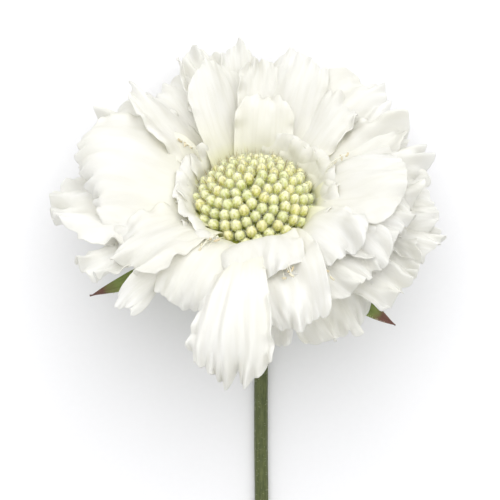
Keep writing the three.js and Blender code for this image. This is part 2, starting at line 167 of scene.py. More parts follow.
def needles(roots, tips, radius, height):
    # thin three-sided cones, each from its root to its tip; height chooses their tone
    ahead = unit(tips - roots)
    aside = unit(np.cross(ahead, [0.37, -0.61, 0.7]))
    above = np.cross(aside, ahead)
    ring = turned(aside, above, np.array([0, 2, 4])[:, None] * np.pi / 3)
    corners = np.concatenate([roots + radius * ring, tips[None]])  # 4 corners of each needle
    first = np.arange(len(roots))[:, None, None] * 4
    faces = first + [[0, 1, 3], [1, 2, 3], [2, 0, 3], [0, 2, 1]]
    return patchOf(corners.transpose(1, 0, 2), faces.reshape(-1, 3), {"height": height})


def headNeedles(roots, tips, radius, height):
    # needles whose places are given across the face
    roots = headToWorld(roots).reshape(-1, 3)
    tips = headToWorld(tips).reshape(-1, 3)
    return needles(roots, tips, radius, height)


# Materials.


def newMaterial(name, roughness, specular=0.3):
    material = bpy.data.materials.new(name)
    material.use_nodes = True
    shader = material.node_tree.nodes["Principled BSDF"]
    shader.inputs["Roughness"].default_value = roughness
    shader.inputs["Specular IOR Level"].default_value = specular
    return material, material.node_tree, shader


def add(tree, kind, inputs, **settings):
    # a shader node; an input is a number, a colour or another node's socket
    made = tree.nodes.new("ShaderNode" + kind)
    for key, value in settings.items():
        setattr(made, key, value)
    for key, value in inputs.items():
        if isinstance(value, bpy.types.NodeSocket):
            tree.links.new(value, made.inputs[key])
        else:
            made.inputs[key].default_value = value
    return made


def place(tree):
    return add(tree, "TexCoord", {}).outputs["Object"]


def attribute(tree, name):
    return add(tree, "Attribute", {}, attribute_name=name).outputs["Fac"]


def math(tree, operation, a, b=0.0):
    return add(tree, "Math", {0: a, 1: b}, operation=operation).outputs[0]


def times(tree, a, b):
    return math(tree, "MULTIPLY", a, b)


def stretched(tree, values, fineness):
    # a place for noise: along each axis a value times how finely it is drawn there
    axes = {axis: times(tree, value, fine) for axis, value, fine in zip("XYZ", values, fineness)}
    return add(tree, "CombineXYZ", axes).outputs[0]


def shades(tree, factor, stops):
    # colours along a factor, each stop a place and a colour
    ramp = add(tree, "ValToRGB", {"Fac": factor})
    band = ramp.color_ramp
    while len(band.elements) < len(stops):
        band.elements.new(0.5)
    for element, (position, colour) in zip(band.elements, stops):
        element.position = position
        element.color = (*colour, 1)
    return ramp.outputs["Color"]


def mixed(tree, factor, a, b, blend="MIX"):
    inputs = {0: factor, 6: a, 7: b}  # the node's factor and its two colours
    return add(tree, "Mix", inputs, data_type="RGBA", blend_type=blend).outputs[2]


def noise(tree, vector, scale, detail=2.0, distortion=0.0):
    inputs = {"Vector": vector, "Scale": scale, "Detail": detail, "Distortion": distortion}
    return add(tree, "TexNoise", inputs).outputs["Fac"]


def relief(tree, shader, height, depth):
    # small height of the surface, depth in millimetres
    bump = add(tree, "Bump", {"Height": height, "Distance": depth * mm, "Strength": 1.0})
    tree.links.new(bump.outputs["Normal"], shader.inputs["Normal"])


petalFinish = {
    "throat": (0.93, 0.925, 0.66),
    "claw": (0.97, 0.965, 0.90),
    "blade": (0.962, 0.960, 0.942),
    "margin": (0.94, 0.942, 0.935),
    "through": 0.40,  # share of light that passes through
    "veins": (9.0, 1.6, 31.0), "pleats": (34.0, 3.2, 17.0),  # how fine across, along, by lobe
    "veinDepth": 0.06, "pleat": 3.0, "crinkleScale": 700.0, "blotchScale": 90.0,
    "lines": (0.91, 0.905, 0.865), "patches": (0.975, 0.972, 0.94), "warmth": (1.0, 0.99, 0.95),
}


def makePetalMaterial():
    # Across and along are the place on the lobe. Noise drawn out along the lobe gives veins;
    # colour runs from the yellow-green throat to the white blade.
    material, tree, shader = newMaterial("petal", 0.58, 0.28)
    across = attribute(tree, "across")
    along = attribute(tree, "along")
    spot = (across, along, attribute(tree, "lot"))
    veins = noise(tree, stretched(tree, spot, petalFinish["veins"]), 1.7, 4.0, 0.35)
    narrow = stretched(tree, spot, petalFinish["pleats"])
    outer = shades(tree, along, [(0.3, (0, 0, 0)), (0.85, (1, 1, 1))])
    pleats = times(tree, noise(tree, narrow, 1.0, 3.0, 0.5), outer)
    crinkle = noise(tree, place(tree), petalFinish["crinkleScale"], 3.0)
    blotch = noise(tree, place(tree), petalFinish["blotchScale"], 2.0)
    colour = shades(tree, along, [
        (0.0, petalFinish["throat"]), (0.20, petalFinish["claw"]),
        (0.48, petalFinish["blade"]), (1.0, petalFinish["margin"])])
    lines = shades(tree, veins, [(0.38, petalFinish["lines"]), (0.56, (1, 1, 1))])
    colour = mixed(tree, 0.35, colour, lines, "MULTIPLY")
    patches = shades(tree, blotch, [(0.35, petalFinish["patches"]), (0.65, (1, 1, 1))])
    colour = mixed(tree, 0.7, colour, patches, "MULTIPLY")
    tree.links.new(colour, shader.inputs["Base Color"])
    tree.links.new(shades(tree, crinkle, [(0.3, (0.5,) * 3), (0.7, (0.66,) * 3)]),
                   shader.inputs["Roughness"])
    height = math(tree, "ADD", veins, times(tree, crinkle, 0.25))
    height = math(tree, "ADD", height, times(tree, pleats, petalFinish["pleat"]))
    relief(tree, shader, height, petalFinish["veinDepth"])
    warm = mixed(tree, 1.0, colour, (*petalFinish["warmth"], 1), "MULTIPLY")
    glow = add(tree, "BsdfTranslucent", {"Color": warm})
    both = add(tree, "MixShader", {0: petalFinish["through"], 1: shader.outputs[0],
                                   2: glow.outputs[0]})
    tree.links.new(both.outputs[0], tree.nodes["Material Output"].inputs["Surface"])
    return material


budFinish = {
    # the foot colour is painted shade: the dark low down between the crowded buds
    "foot": (0.20, 0.23, 0.03),
    "side": (0.54, 0.58, 0.11),
    "crown": (0.78, 0.79, 0.30),
    "tip": (0.94, 0.93, 0.64),
    "cool": (0.86, 0.90, 0.80), "warm": (1.0, 0.95, 0.84), "speckle": (0.78, 0.80, 0.68),
    # how far painted shade darkens the colour in the furrows where the closed petals meet
    "downScale": 2200.0, "downDepth": 0.12, "furrowShade": 0.22, "sheen": 0.3,
    "under": 0.12, "underRadius": (0.6, 0.7, 0.25), "underDepth": 0.6,  # light under the skin
}


def makeBudMaterial():
    # height runs from the foot of a bud to its tip; lot differs from bud to bud. Up the bud the colour
    # goes from its own yellow-green sides to the pale downy tip; the dark foot is painted shade where
    # the buds crowd.
    material, tree, shader = newMaterial("budDown", 0.72, 0.2)
    down = noise(tree, place(tree), budFinish["downScale"], 2.0)
    # painted shade: the colour slides darker along the furrows between the closed petals
    seam = times(tree, attribute(tree, "seam"), budFinish["furrowShade"])
    shifted = math(tree, "ADD", attribute(tree, "height"), times(tree, down, 0.30))
    shifted = math(tree, "SUBTRACT", shifted, seam)
    colour = shades(tree, shifted, [
        (0.18, budFinish["foot"]), (0.48, budFinish["side"]),
        (0.78, budFinish["crown"]), (1.0, budFinish["tip"])])
    drift = shades(tree, attribute(tree, "lot"), [
        (0.0, budFinish["cool"]), (0.5, (1, 1, 1)), (1.0, budFinish["warm"])])
    colour = mixed(tree, 1.0, colour, drift, "MULTIPLY")
    speckle = shades(tree, down, [(0.34, budFinish["speckle"]), (0.56, (1, 1, 1))])
    colour = mixed(tree, 0.8, colour, speckle, "MULTIPLY")
    tree.links.new(colour, shader.inputs["Base Color"])
    shader.inputs["Sheen Weight"].default_value = budFinish["sheen"]
    shader.inputs["Subsurface Weight"].default_value = budFinish["under"]
    shader.inputs["Subsurface Radius"].default_value = budFinish["underRadius"]
    shader.inputs["Subsurface Scale"].default_value = budFinish["underDepth"] * mm
    relief(tree, shader, down, budFinish["downDepth"])
    return material


def makeHairMaterial(name, colour, tipColour):
    # height picks the tone between the root colour and the tip colour
    material, tree, shader = newMaterial(name, 0.5, 0.3)
    tone = shades(tree, attribute(tree, "height"), [(0.0, colour), (1.0, tipColour)])
    patchy = shades(tree, noise(tree, place(tree), 300.0), [(0.3, (0.85,) * 3), (0.7, (1, 1, 1))])
    tree.links.new(mixed(tree, 1.0, tone, patchy, "MULTIPLY"), shader.inputs["Base Color"])
    return material


leafFinish = {
    "green": (0.19, 0.26, 0.065), "pale": (0.33, 0.39, 0.13), "tip": (0.17, 0.08, 0.06),
    "veins": (7.0, 1.0), "mottleScale": 420.0, "veinDepth": 0.10,
}


def makeLeafMaterial():
    # along runs from the cup to the tip of a bract, across from one margin to the other
    material, tree, shader = newMaterial("leaf", 0.5, 0.4)
    along = attribute(tree, "along")
    spot = (attribute(tree, "across"), along)
    veins = noise(tree, stretched(tree, spot, leafFinish["veins"]), 2.0, 3.0)
    mottle = noise(tree, place(tree), leafFinish["mottleScale"], 4.0)
    colour = mixed(tree, veins, (*leafFinish["green"], 1), (*leafFinish["pale"], 1))
    worn = math(tree, "ADD", along, times(tree, mottle, 0.12))
    browned = shades(tree, worn, [(0.93, (0, 0, 0)), (1.0, (1, 1, 1))])
    colour = mixed(tree, browned, colour, (*leafFinish["tip"], 1))
    speckle = shades(tree, mottle, [(0.3, (0.8,) * 3), (0.7, (1, 1, 1))])
    tree.links.new(mixed(tree, 0.6, colour, speckle, "MULTIPLY"), shader.inputs["Base Color"])
    height = math(tree, "ADD", veins, times(tree, mottle, 0.4))
    relief(tree, shader, height, leafFinish["veinDepth"])
    return material


stemFinish = {
    "green": (0.058, 0.075, 0.020), "pale": (0.115, 0.135, 0.045), "cut": (0.42, 0.47, 0.20),
    "fibres": (14.0, 22.0), "speckleScale": 1500.0, "fibreDepth": 0.08,
}


def makeStemMaterial():
    # drawn-out noise gives the fibres that run along the stem; turn is the place round it
    material, tree, shader = newMaterial("stem", 0.5, 0.35)
    spot = (attribute(tree, "turn"), attribute(tree, "along"))
    fibres = noise(tree, stretched(tree, spot, stemFinish["fibres"]), 1.6, 3.0)
    fibres = times(tree, fibres, 0.7)
    speckle = times(tree, noise(tree, place(tree), stemFinish["speckleScale"], 2.0), 0.3)
    mix = math(tree, "ADD", fibres, speckle)
    colour = shades(tree, mix, [(0.36, stemFinish["green"]), (0.66, stemFinish["pale"])])
    colour = mixed(tree, attribute(tree, "face"), colour, (*stemFinish["cut"], 1))
    tree.links.new(colour, shader.inputs["Base Color"])
    relief(tree, shader, mix, stemFinish["fibreDepth"])
    return material


petalWhite = makePetalMaterial()
budDown = makeBudMaterial()
leafGreen = makeLeafMaterial()
stemGreen = makeStemMaterial()
paleHair = makeHairMaterial("paleHair", (0.66, 0.69, 0.40), (0.92, 0.92, 0.76))
darkBristle = makeHairMaterial("darkBristle", (0.40, 0.33, 0.08), (0.34, 0.17, 0.04))
anther = makeHairMaterial("anther", (0.84, 0.80, 0.62), (0.66, 0.56, 0.36))
print("materials made")


# The ray florets. Each lobe is a fan; its angles are in degrees, but cup is in radians.
# az and rootAz: direction round the head of the lobe and of its root; bow: bends it sideways.
# root and h: the root's distance from the axis and its height; width: half the full width;
# claw: share of the width at the root; peak: share of the length where the width is full.
# rise and fall: slope of the midline at the root and at the end; curl: added near the end.
# cup: half the angle of the section's arc; roll and twist: turn about the midline, all along
# and growing; fold: turn of the part past foldAt, which is from -1 to 1 across the lobe.
# wave and flute: height and slope of the slow folds, waves: how many half waves there are;
# lip: slope of the very end; edge: how far its corners are drawn in, as a share of width;
# notch: depth of its scallops, as a share of length; frill: height of the small waves there.
lobeDefaults = {
    "root": 12.2, "h": -0.6, "length": 20.5, "rise": 22, "fall": 10, "width": 8, "claw": 0.55,
    "peak": 0.65, "cup": 0.2, "roll": 14, "twist": 0, "bow": 0, "curl": 0, "fold": 0, "foldAt": 0,
    "wave": 1.2, "waves": 3, "flute": 13, "edge": 0.45, "lip": 14, "frill": 0.65, "notch": 0.02,
    "short": False, "rows": 50, "columns": 84,
}
shortLobe = {
    "root": 11.8, "h": -0.3, "length": 7.5, "rise": 66, "fall": 38, "width": 5.2, "claw": 0.8,
    "cup": 0.1, "curl": -38, "roll": 5, "wave": 0.5, "waves": 4, "flute": 24, "frill": 0.35,
    "short": True, "rows": 28, "columns": 48,
}


def large(az, **other):
    return {**lobeDefaults, "az": az, "rootAz": az, **other}


def short(az, **other):
    # one of the small lobes beside the dome
    return large(az, **{**shortLobe, **other})


rayFlorets = {
    "a": [
        large(110, rootAz=108, h=0, length=20, rise=44, fall=24, width=7, claw=0.8, cup=0.25,
              wave=0.5, edge=0.85, flute=8, frill=0.25),
        large(112, rootAz=111, length=24.5, rise=32, fall=20, width=5.4, waves=4, flute=18,
              frill=0.8),
        large(96, rootAz=99, length=23.5, rise=35, fall=24, width=3.3, wave=0.4, waves=2, flute=8,
              edge=0.6, lip=10, frill=0.3),
    ],
    "b": [
        large(71, h=-0.2, length=22, rise=42, fall=26, width=7, claw=0.75, cup=-0.9, wave=0.5,
              edge=0.3, roll=4, flute=7, frill=0.25),
        large(87, rootAz=85, h=0, length=19.5, rise=40, fall=26, width=5.2, claw=0.5, cup=0.4,
              wave=0.6, edge=0.3, flute=9),
        large(62, rootAz=70, root=12, h=-1.1, length=23, rise=2, fall=-16, width=9),
        short(83, h=0, length=13.5, rise=64, width=5.8, claw=0.9, curl=-60, cup=0.3, edge=0.7,
              waves=3, flute=10, frill=0.4),
        short(60, length=6.5, fall=52, curl=-20),
    ],
    "c": [
        large(36, rootAz=44, length=25, rise=28, fall=4, width=11.5, curl=-45, roll=9, wave=1.4,
              waves=4, flute=19, edge=0.7, frill=0.9),
        large(56, rootAz=54, length=18, rise=38, fall=16, width=7.6, roll=-8, curl=-30),
        large(32, rootAz=38, root=12, h=-1, length=23, rise=2, fall=-8),
        short(43, length=6.5, fall=52, curl=-20),
    ],
    "d": [
        large(12, rootAz=17, length=23, fall=-4, width=10.5, curl=-30, cup=0.1, roll=10, waves=5,
              flute=20, frill=0.9),
        large(1, rootAz=5, h=0.6, length=18.5, rise=46, fall=-10, width=12.5, claw=0.5, peak=0.6,
              cup=-0.15, wave=0.7, edge=0.3, roll=-4, flute=8, frill=0.35, fold=-34, foldAt=0.35),
        large(-5, rootAz=2, root=12, h=-1, length=23.5, rise=4, fall=-6, waves=4),
        short(24),
        short(8),
    ],
    "e": [
        large(-22, rootAz=-18, h=0.4, length=19.5, rise=34, fall=-18, width=9.5, cup=0, roll=9,
              flute=15),
        large(-13, rootAz=-16, root=12, h=-1, length=25, rise=6, fall=-16, width=5),
        large(-29, rootAz=-24, root=12, h=-1.5, length=22.5, rise=-2, fall=-12, width=6.5, waves=4,
              frill=0.8),
        short(-14),
    ],
    "f": [
        large(-54, rootAz=-50, h=0.5, length=15, rise=58, fall=-40, width=9.5, claw=0.5, cup=-0.2,
              waves=5, flute=20, frill=0.8),
        large(-43, rootAz=-46, h=0.6, length=18.5, rise=20, fall=-28, width=8.5),
        large(-33, rootAz=-42, root=12, h=-1.6, length=23, rise=0, fall=-14, width=4.8, waves=4),
        large(-57, rootAz=-52, root=12, h=-1.8, length=21, rise=-28, fall=-38, width=7.5, waves=5,
              flute=18, frill=0.8),
        short(-34, fall=5),
        short(-52, length=7, fall=0),
    ],
    "g": [
        large(-77, rootAz=-73, h=0.5, length=22, rise=36, fall=-58, width=7.6, claw=0.5, cup=0.95,
              wave=0.7, flute=7, frill=0.5),
        large(-86, rootAz=-80, root=12, rise=-6, fall=-50, width=3.8, wave=0.6),
        short(-70, length=7, fall=0),
    ],
    "h": [
        large(-98, rootAz=-96, h=0.2, length=35, rise=42, fall=-78, width=9.4, peak=1.35, cup=-0.3,
              wave=2.3, waves=7, flute=0, lip=10, frill=0.6, claw=0.12),
        large(-92, root=12.1, h=0.8, length=15, rise=76, fall=-56, width=9.4, claw=0.62, cup=-0.45,
              wave=0.8, flute=15, waves=4),
    ],
    "i": [
        large(-124, rootAz=-121, h=0.5, length=21.5, rise=48, fall=-76, width=8.8, claw=0.5,
              cup=-0.4, wave=0.8, roll=6, flute=15, frill=0.3),
        large(-137, rootAz=-126, h=0.8, length=24, rise=4, fall=-16, width=3.2, claw=0.5, cup=0.6,
              wave=0.4, waves=2, twist=170, flute=7, frill=0.2),
        short(-114, length=7, fall=-10),
        short(-134, length=7, fall=0),
    ],
    "j": [
        large(-141, rootAz=-148, h=0.4, length=19.5, rise=32, fall=-40, width=7.8, cup=0.3, roll=8,
              waves=4, flute=19),
        large(-152, root=12, h=-1.2, length=24.5, rise=2, fall=-10, width=5, cup=0.8, wave=1,
              bow=6),
        short(-152, length=6.5),
    ],
    "k": [
        large(179, rootAz=175, h=0.4, length=25, rise=38, fall=-14, width=14, claw=0.5, peak=0.6,
              cup=-0.15, wave=0.9, edge=0.35, roll=-8, flute=9, curl=-45, frill=0.45, fold=-14,
              foldAt=-0.3),
        large(182, rootAz=180, root=12, h=-1.1, length=27.5, rise=4, fall=-8, width=12.4, cup=0.1,
              waves=5, flute=17, edge=0.8, frill=0.9),
        short(-172, length=6.5),
        short(168, length=6.5),
    ],
    "l": [
        large(153, rootAz=152, length=26, rise=20, fall=2, width=9.6, cup=0.1, curl=-40, roll=-8,
              flute=15, waves=4, edge=0.8),
        large(132, rootAz=131, length=22.5, rise=34, fall=4, width=9.2, claw=0.4, cup=0.1, roll=2,
              fold=16, foldAt=-0.1, flute=9, edge=0.7, curl=-30),
        large(122, rootAz=128, root=12, h=-1.4, length=23, rise=-1, fall=-23, width=8.5),
        short(150, length=6.5),
        short(138, length=6.5, width=4.4, fall=48),
    ],
}
petalBuild = {
    "wall": 0.22, "surfaceGap": 0.12,  # lowest the middle of a petal may lie over the surface
    "midlineSteps": 50, "midlineReach": 1.25, "throatSlope": 75, "rootIn": 0.4,
    "crowding": 1.25, "narrowing": 0.12, "frillTurn": 24, "dent": 0.03, "foldBlend": 0.14,
    "frillSpans": (1.1, 1.7, 2.5, 3.6, 5.2, 7.6), "rippleSpans": (5.1, 3.1),
    "crispSpans": (2.1, 3.3), "nickDepth": 2.2, "nickWidth": 0.07,
    "shortFrom": 0.06, "shortShare": 0.5,  # short lobes keep to the creamy colours of the root
}


def lobePatch(lobe, seed):
    # The midline is added up from its slope; across it the section is an arc of angle 2 cup.
    # On the arc ride slow waves, folds along the lobe and the frill, which grows to the margin.
    chance = draws(seed, 20)
    phase = chance * 2 * np.pi
    share = np.linspace(0, 1, lobe["rows"])[:, None]
    t = 1 - (1 - share) ** petalBuild["crowding"]  # closer rows towards the margin
    s = np.linspace(-1, 1, lobe["columns"])[None, :]
    t, s = np.broadcast_arrays(t, s)

    stride = petalBuild["midlineReach"] / petalBuild["midlineSteps"]
    places = np.arange(petalBuild["midlineSteps"] + 1) * stride

    def slopeAt(q):
        bend = (lobe["fall"] - lobe["rise"]) * np.clip(q, 0, 1.1) ** 1.4
        throat = (petalBuild["throatSlope"] - lobe["rise"]) * (1 - smooth(q * lobe["length"], 0, 2.5))
        return np.radians(lobe["rise"] + bend + throat + lobe["curl"] * smooth(q, 0.7, 1))

    def headingAt(q):
        return np.radians(lobe["az"] + lobe["bow"] * np.clip(q, 0, 1.1) ** 2)

    def fluteAt(q):
        # how much each strip of the blade rises or falls beside its neighbours
        swing = lobe["flute"] * np.sin(np.pi * lobe["waves"] * s[:1] / 2 + phase[2])
        swing = swing * (0.5 + 0.9 * s[:1] ** 2 - 0.8 * s[:1] ** 4) * smooth(q, 0.4, 1)
        lip = lobe["lip"] * np.sin(3.7 * s[:1] + phase[17]) * smooth(q, 0.88, 1) * (1 - s[:1] ** 4)
        turns = 2 * np.pi * lobe["width"] * s[:1]
        fine, coarse = petalBuild["crispSpans"]
        crisp = np.sin(turns / fine + phase[18]) + 0.7 * np.sin(turns / coarse + phase[19])
        crisp = petalBuild["frillTurn"] * lobe["frill"] * crisp * smooth(q, 0.74, 1)
        return np.radians(swing + lip + crisp)

    middle = (places[:-1] + stride / 2)[:, None]
    slopes = slopeAt(middle) + fluteAt(middle)
    steps = polar(np.cos(slopes), headingAt(middle), np.sin(slopes))
    rootAngle = np.radians(lobe["rootAz"])
    root = polar(lobe["root"] - petalBuild["rootIn"], rootAngle, lobe["h"])
    strips = np.cumsum(steps, 0) * stride * lobe["length"]
    strips = root + np.concatenate([np.zeros((1,) + strips.shape[1:]), strips])

    # the margin: its broad curve, then scallops and one small nick
    rounding = lobe["edge"] * lobe["width"] / lobe["length"]
    margin = 1 - rounding * np.abs(s) ** 3 + 0.03 * np.sin(4.2 * s + phase[0])
    margin = margin + lobe["notch"] * (0.5 * np.sin(9 * s + phase[4]) + 0.35 * np.sin(17 * s + phase[5])
                                       + 0.2 * np.sin(31 * s + phase[6]))
    nick = np.sin(phase[7]) * 0.7
    away = (s - nick) / petalBuild["nickWidth"]
    margin = margin - petalBuild["nickDepth"] * lobe["notch"] * np.exp(-away ** 2)
    q = t * margin
    whole = np.clip((q / stride).astype(int), 0, petalBuild["midlineSteps"] - 1)
    column = np.arange(lobe["columns"])[None, :]
    rest = (q / stride - whole)[..., None]
    centre = strips[whole, column] * (1 - rest) + strips[whole + 1, column] * rest
    slope = slopeAt(q)
    heading = headingAt(q)
    ahead = polar(np.cos(slope), heading, np.sin(slope))
    level = np.stack([-np.sin(heading), np.cos(heading), 0 * heading], -1)
    up = np.cross(ahead, level)
    turn = np.radians(lobe["roll"] + lobe["twist"] * q ** 1.5)[..., None]
    side = level * np.cos(turn) + up * np.sin(turn)
    up = up * np.cos(turn) - level * np.sin(turn)

    opened = np.sin(np.minimum(1, q / lobe["peak"]) * np.pi / 2)
    width = lobe["width"] * (lobe["claw"] + (1 - lobe["claw"]) * opened)
    width = width * (1 - petalBuild["narrowing"] * smooth(q, 0.8, 1))
    arc = lobe["cup"] * (0.4 + 0.6 * smooth(q, 0, 1)) + 1e-6
    waved = np.sin(np.pi * lobe["waves"] * s / 2 + phase[2]) * (0.45 + 0.55 * s * s)
    waved = waved * smooth(q, 0.3, 1.05)
    slow = 0.5 * np.sin(2.1 * s + 3 * q + phase[3]) * smooth(q, 0.1, 0.8)
    lift = lobe["wave"] * (waved + slow)

    # the frill: waves of several spans, each span higher and reaching further in than the last
    x = s * lobe["width"]
    y = q * lobe["length"]
    field = 0
    for k, span in enumerate(petalBuild["frillSpans"]):
        tilt = 0.5 * np.sin(phase[8 + k] * 3)
        wave = 2 * np.pi * (x * np.cos(tilt) + 0.6 * y * np.sin(tilt)) / span + phase[8 + k]
        crisp = smooth(q, 0.8 - span / 9, 1.02 - span / 40)  # the finest only near the margin
        field = field + span / 6 * np.sin(wave) * crisp
    patchy = 0.6 + 0.4 * np.sin(2.6 * s + 2.2 * q + phase[13])
    lift = lift + lobe["frill"] * field * patchy
    longSpan, shortSpan = petalBuild["rippleSpans"]
    ripple = np.sin(2 * np.pi * y / longSpan + phase[14] * np.sign(s))
    ripple = ripple + 0.6 * np.sin(2 * np.pi * y / shortSpan + phase[15])
    lift = lift + lobe["frill"] * ripple * np.abs(s) ** 5 * smooth(q, 0.12, 0.35)
    dents = np.sin(6.1 * q + 2.3 * s + phase[15]) * np.sin(4.3 * s - 3.1 * q + phase[16])
    lift = lift + petalBuild["dent"] * lobe["width"] * dents * smooth(q, 0.05, 0.3)

    # the arc, and the part of it past the fold turned about the fold
    out = width * np.sin(arc * s) / arc
    rise = width * (1 - np.cos(arc * s)) / arc
    outFold = width * np.sin(arc * lobe["foldAt"]) / arc
    riseFold = width * (1 - np.cos(arc * lobe["foldAt"])) / arc
    blend = petalBuild["foldBlend"]
    fold = smooth(s, lobe["foldAt"] - blend, lobe["foldAt"] + blend) * smooth(q, 0.05, 0.45)
    fold = np.radians(lobe["fold"]) * fold
    across, above = out - outFold, rise - riseFold
    out = outFold + across * np.cos(fold) - above * np.sin(fold)
    rise = riseFold + across * np.sin(fold) + above * np.cos(fold)
    points = centre + side * out[..., None] + up * (rise + lift)[..., None]
    hug = out ** 2 / (2 * lobe["root"]) * (1 - smooth(q, 0, 0.45))  # roots follow the dome's edge
    points = headToWorld(points - hug[..., None] * compass(rootAngle)[0])
    points[..., 2] = np.maximum(points[..., 2], petalBuild["surfaceGap"])
    along = petalBuild["shortFrom"] + petalBuild["shortShare"] * q if lobe["short"] else q
    values = {"across": s / 2 + 0.5, "along": along, "lot": chance[17]}
    return patchOf(points, gridFaces(lobe["rows"], lobe["columns"]), values)


floretTube = {
    "footRadius": 11.4, "foot": -2.6, "throatRadius": 12.6, "throat": 0.2, "margin": 1.2,
    "slim": 0.6, "wide": 0.7, "flare": 1.6, "rows": 12, "sides": 24,
}


def tubePatch(lobes):
    # a funnel from the receptacle to the throat, flattened so that it reaches all its lobes
    roots = [lobe["rootAz"] for lobe in lobes if not lobe["short"]]
    middle = (max(roots) + min(roots)) / 2
    spread = np.radians(max(roots) - middle) * floretTube["throatRadius"] + floretTube["margin"]
    outward, sideways = compass(np.radians(middle))
    foot = outward * floretTube["footRadius"] + [0, 0, floretTube["foot"]]
    throat = outward * floretTube["throatRadius"] + [0, 0, floretTube["throat"]]
    away = np.cross(sideways, unit(throat - foot))
    t = np.linspace(0, 1, floretTube["rows"])[:, None]
    turn = circle(floretTube["sides"])
    radius = floretTube["slim"] + (floretTube["wide"] - floretTube["slim"]) * t ** floretTube["flare"]
    wider = 1 + (spread / floretTube["wide"] - 1) * t
    points = foot + (throat - foot) * t[..., None] \
        + sideways * (radius * wider * np.cos(turn))[..., None] \
        + away * (radius * np.sin(turn))[..., None]
    return rings(headToWorld(points), {"across": turn / (2 * np.pi), "along": 0.1 * t, "lot": 0.5})


for number, (name, lobes) in enumerate(rayFlorets.items()):
    patches = [tubePatch(lobes)]
    for k, lobe in enumerate(lobes):
        patches.append(lobePatch(lobe, 10 * number + k + 1))
    addPiece("rayFloret_" + name, patches, petalWhite, "ray_floret_" + name,
             wall=petalBuild["wall"])
print("ray florets made")


# The dome of closed disc florets, set out by the golden angle on a low dome.
dome = {
    "radius": 10.8, "height": 5.2, "power": 2.2, "count": 108, "crowding": 0.455,
    "budRadius": 1.08, "budTop": 1.85, "budFoot": -1.4, "lean": 0.5, "around": 20, "along": 12,
    "roundness": 2.3, "furrow": 0.14, "scatter": 0.22, "rows": 14, "sides": 48, "sunk": 0.6,
    "rimShare": [1.1, 1.1, 0.83, 0.0], "rimHeight": [-1.2, -1.8, -2.4, -2.4],
    "hairs": 90, "hairRadius": 0.045, "hairLength": 0.3, "hairVaries": 0.35,
    "bristles": 6, "bristleRadius": 0.09, "bristleRise": 1.1, "bristleVaries": 0.7,
    "seed": 71, "hairSeed": 503, "bristleSeed": 907,
}


def domeHeight(share):
    return dome["height"] * (1 - share ** dome["power"])


def budFrames():
    # foot, outward direction, two directions across, size and lot of every bud
    number = np.arange(dome["count"])
    chance = draws(dome["seed"], 4, dome["count"])
    share = ((number + 0.5) / dome["count"]) ** dome["crowding"]  # denser towards the rim
    angle = number * np.pi * (3 - np.sqrt(5))
    foot = polar(dome["radius"] * share, angle, domeHeight(share))
    foot[:, :2] += dome["scatter"] * (chance[:2].T - 0.5)
    outward = polar(dome["lean"] * share, angle, 1)
    outward = unit(outward + dome["scatter"] * (chance[1:4].T - 0.5))
    aside = unit(np.cross(outward, [0.2, 0.9, 0.1]))
    size = (0.97 + 0.03 * share) * (0.94 + 0.12 * chance[3])
    return foot, outward, aside, np.cross(outward, aside), size, chance[2]


def budPatch():
    # An egg: its radius is a rounded power curve of the height, with five shallow furrows
    # near the tip where the closed petals meet.
    foot, outward, aside, above, size, lot = budFrames()
    t = np.linspace(0, 1, dome["along"])[:, None]
    turn = circle(dome["around"])
    v = 1 - (1 - t) ** 1.5
    height = dome["budFoot"] + (dome["budTop"] - dome["budFoot"]) * v
    up = np.clip(height / dome["budTop"], 0, 1)
    down = np.clip(height / dome["budFoot"], 0, 1)
    profile = np.sqrt(np.clip(1 - up ** dome["roundness"], 0, 1)) * (1 - 0.5 * down ** 1.5)
    seam = smooth(up, 0.1, 0.8) * (0.5 + 0.5 * np.cos(5 * turn + 6 * lot[:, None, None])) ** 2
    furrow = 1 - dome["furrow"] * seam
    radius = dome["budRadius"] * size[:, None, None] * profile * furrow
    points = foot[:, None, None] + outward[:, None, None] * height[..., None] \
        + aside[:, None, None] * (radius * np.cos(turn))[..., None] \
        + above[:, None, None] * (radius * np.sin(turn))[..., None]
    one = gridFaces(dome["along"], dome["around"], True)
    each = dome["along"] * dome["around"]
    faces = (one[None] + np.arange(dome["count"])[:, None, None] * each).reshape(-1, 4)
    values = {"height": v, "seam": seam, "lot": lot[:, None, None]}
    return patchOf(headToWorld(points), faces, values)


def receptaclePatch():
    # the low dome under the buds, turned about the axis; past its rim it goes down and back in. It
    # takes the buds' dark foot colour, painted shade under the buds, and is paler past its rim.
    rows = dome["rows"]
    share = np.concatenate([np.linspace(0, 1, rows), dome["rimShare"]])
    height = np.concatenate([domeHeight(share[:rows]) - dome["sunk"], dome["rimHeight"]])
    points = polar(dome["radius"] * share[:, None], circle(dome["sides"]), height[:, None])
    pale = 0.05 + 0.6 * smooth(share, 0.95, 1.05)[:, None]
    return rings(headToWorld(points), {"height": pale, "seam": 0.0, "lot": 0.5})


def budHairPatch():
    # short down that stands off the upper half of each bud
    foot, outward, aside, above, size, _ = budFrames()
    count = dome["hairs"]
    chance = draws(dome["hairSeed"], 3, dome["count"], count)
    turn = 2 * np.pi * chance[0]
    up = 0.15 + 0.83 * chance[1] ** 0.8
    radius = dome["budRadius"] * size[:, None] * np.sqrt(1 - up ** dome["roundness"])
    lean = unit(turned(aside[:, None], above[:, None], turn))
    roots = foot[:, None] + outward[:, None] * (dome["budTop"] * up)[..., None] \
        + lean * radius[..., None] * 0.97
    reach = (dome["hairLength"] + dome["hairVaries"] * chance[2])[..., None]
    tips = roots + reach * unit(lean * (1.1 - up)[..., None] + outward[:, None] * (0.3 + up)[..., None])
    return headNeedles(roots, tips, dome["hairRadius"], 0.8)


